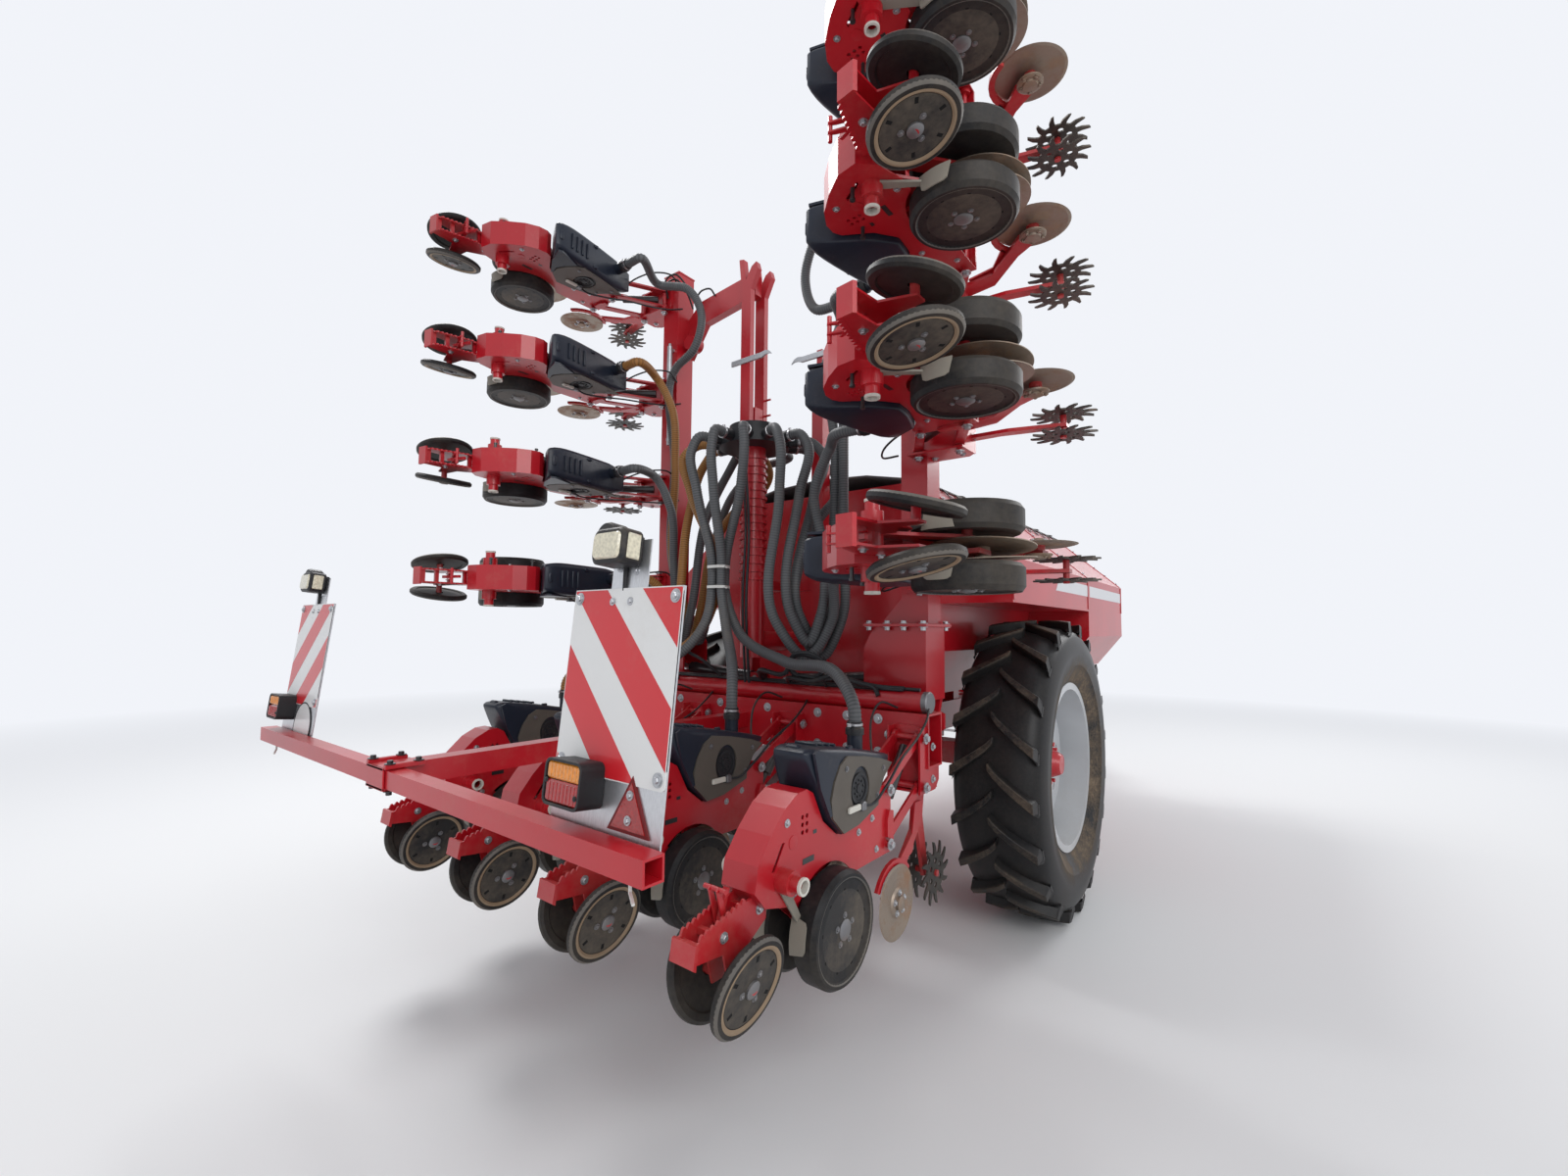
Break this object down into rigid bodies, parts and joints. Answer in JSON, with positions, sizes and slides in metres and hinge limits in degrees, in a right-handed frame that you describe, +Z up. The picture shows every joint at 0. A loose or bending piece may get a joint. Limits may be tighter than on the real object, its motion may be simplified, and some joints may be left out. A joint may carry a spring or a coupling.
{
  "type": "folded twelve-row seed drill",
  "caption": "Towed precision seed drill: hopper on two big wheels, rear toolbar with seed rows, and two wings of rows folded upright over it.",
  "frame": {"origin": "on the ground under the middle of the machine's bounding box", "axes": "+Y is the direction of travel, +X the machine's right, +Z up"},
  "size_m": [3.63, 8.4, 4.345],
  "materials": {
    "red_paint": "machine red enamel",
    "black_plastic": "moulded black plastic",
    "meter_plastic": "moulded dark plastic with a grey-brown side plate",
    "press_rubber": "black rubber on dark wheels",
    "disc_steel": "worn, lightly rusted steel",
    "finger_steel": "black steel fingers",
    "bare_steel": "bare steel",
    "cast_grey": "forged grey eye",
    "tarp": "coated dark tarpaulin",
    "galvanised": "zinc grey",
    "fan_black": "black paint",
    "hose_grey": "grey corrugated hose",
    "board_aluminium": "aluminium plate with red and white stripes",
    "lamp_lens": "amber and red lens",
    "lamp_black": "black lamp housing",
    "cylinder_black": "black cylinder paint",
    "rod_chrome": "chromed rod",
    "tyre_rubber": "black tyre",
    "rim_silver": "silver-grey wheel paint"
  },
  "bodies": {
    "chassis": {"frame": "red_paint", "axle_spindles": "bare_steel", "drawbar": "red_paint", "towing_eye": "cast_grey", "jack_sleeve": "red_paint", "hopper_rear": "red_paint", "hopper_front": "red_paint", "hopper_cover": "tarp", "platform": "galvanised", "platform_rails": "galvanised", "fan": "fan_black", "toolbar_centre": "red_paint", "mast_base": "red_paint", "hinge_pins": "bare_steel", "masts": "red_paint", "distributor_riser": "red_paint", "distributor_head": "black_plastic", "tower_hoses": "hose_grey", "lamp_carrier": "red_paint", "warning_boards": "board_aluminium", "tail_lamps": "lamp_lens", "work_lamps": "lamp_black", "centre_row_frames": "red_paint", "centre_row_meters": "meter_plastic", "centre_gauge_wheels": "press_rubber", "centre_closing_wheels": "press_rubber", "centre_row_discs": "disc_steel", "centre_row_cleaners": "finger_steel"},
    "wing_right": {"wing_right": "red_paint", "right_hoses": "hose_grey", "right_row_frames": "red_paint", "right_row_meters": "meter_plastic", "right_gauge_wheels": "press_rubber", "right_closing_wheels": "press_rubber", "right_row_discs": "disc_steel", "right_row_cleaners": "finger_steel"},
    "wing_left": {"wing_left": "red_paint", "left_hoses": "hose_grey", "left_row_frames": "red_paint", "left_row_meters": "meter_plastic", "left_gauge_wheels": "press_rubber", "left_closing_wheels": "press_rubber", "left_row_discs": "disc_steel", "left_row_cleaners": "finger_steel"},
    "fold_barrel_right": {"fold_barrel_right": "cylinder_black"},
    "fold_rod_right": {"fold_rod_right": "rod_chrome"},
    "fold_barrel_left": {"fold_barrel_left": "cylinder_black"},
    "fold_rod_left": {"fold_rod_left": "rod_chrome"},
    "wheel_right": {"tyre_right": "tyre_rubber", "rim_right": "rim_silver", "hub_right": "red_paint"},
    "wheel_left": {"tyre_left": "tyre_rubber", "rim_left": "rim_silver", "hub_left": "red_paint"},
    "jack_leg": {"jack_leg": "bare_steel"}
  },
  "joints": [
    {"name": "wing_fold_right", "type": "hinge", "parent": "chassis", "child": "wing_right", "pos_m": [0.98, -2.02, 1.285], "axis": [0, 1, 0], "range_deg": [0, 90]},
    {"name": "fold_barrel_swing_right", "type": "hinge", "parent": "chassis", "child": "fold_barrel_right", "pos_m": [0.12, -2.0195, 1.462], "axis": [0, 1, 0], "range_deg": [-1, 7.37]},
    {"name": "fold_rod_slide_right", "type": "slide", "parent": "fold_barrel_right", "child": "fold_rod_right", "axis": [0.9977, 0, 0.0674], "range_m": [0, 0.3518]},
    {"name": "wheel_spin_right", "type": "hinge", "parent": "chassis", "child": "wheel_right", "pos_m": [1.19, -0.75, 0.92], "axis": [1, 0, 0], "continuous": true},
    {"name": "wing_fold_left", "type": "hinge", "parent": "chassis", "child": "wing_left", "pos_m": [-0.98, -2.02, 1.285], "axis": [0, -1, 0], "range_deg": [0, 90]},
    {"name": "fold_barrel_swing_left", "type": "hinge", "parent": "chassis", "child": "fold_barrel_left", "pos_m": [-0.12, -2.0195, 1.462], "axis": [0, -1, 0], "range_deg": [-1, 7.37]},
    {"name": "fold_rod_slide_left", "type": "slide", "parent": "fold_barrel_left", "child": "fold_rod_left", "axis": [-0.9977, 0, 0.0674], "range_m": [0, 0.3518]},
    {"name": "wheel_spin_left", "type": "hinge", "parent": "chassis", "child": "wheel_left", "pos_m": [-1.19, -0.75, 0.92], "axis": [1, 0, 0], "continuous": true},
    {"name": "jack_slide", "type": "slide", "parent": "chassis", "child": "jack_leg", "axis": [0, 0, 1], "range_m": [-0.1, 0]}
  ],
  "couplings": [
    {"joint": "fold_barrel_swing_right", "follows": "wing_fold_right", "ratio": 0.076302},
    {"joint": "fold_rod_slide_right", "follows": "wing_fold_right", "m_per_rad": 0.22078},
    {"joint": "fold_barrel_swing_left", "follows": "wing_fold_left", "ratio": 0.076302},
    {"joint": "fold_rod_slide_left", "follows": "wing_fold_left", "m_per_rad": 0.22078}
  ]
}
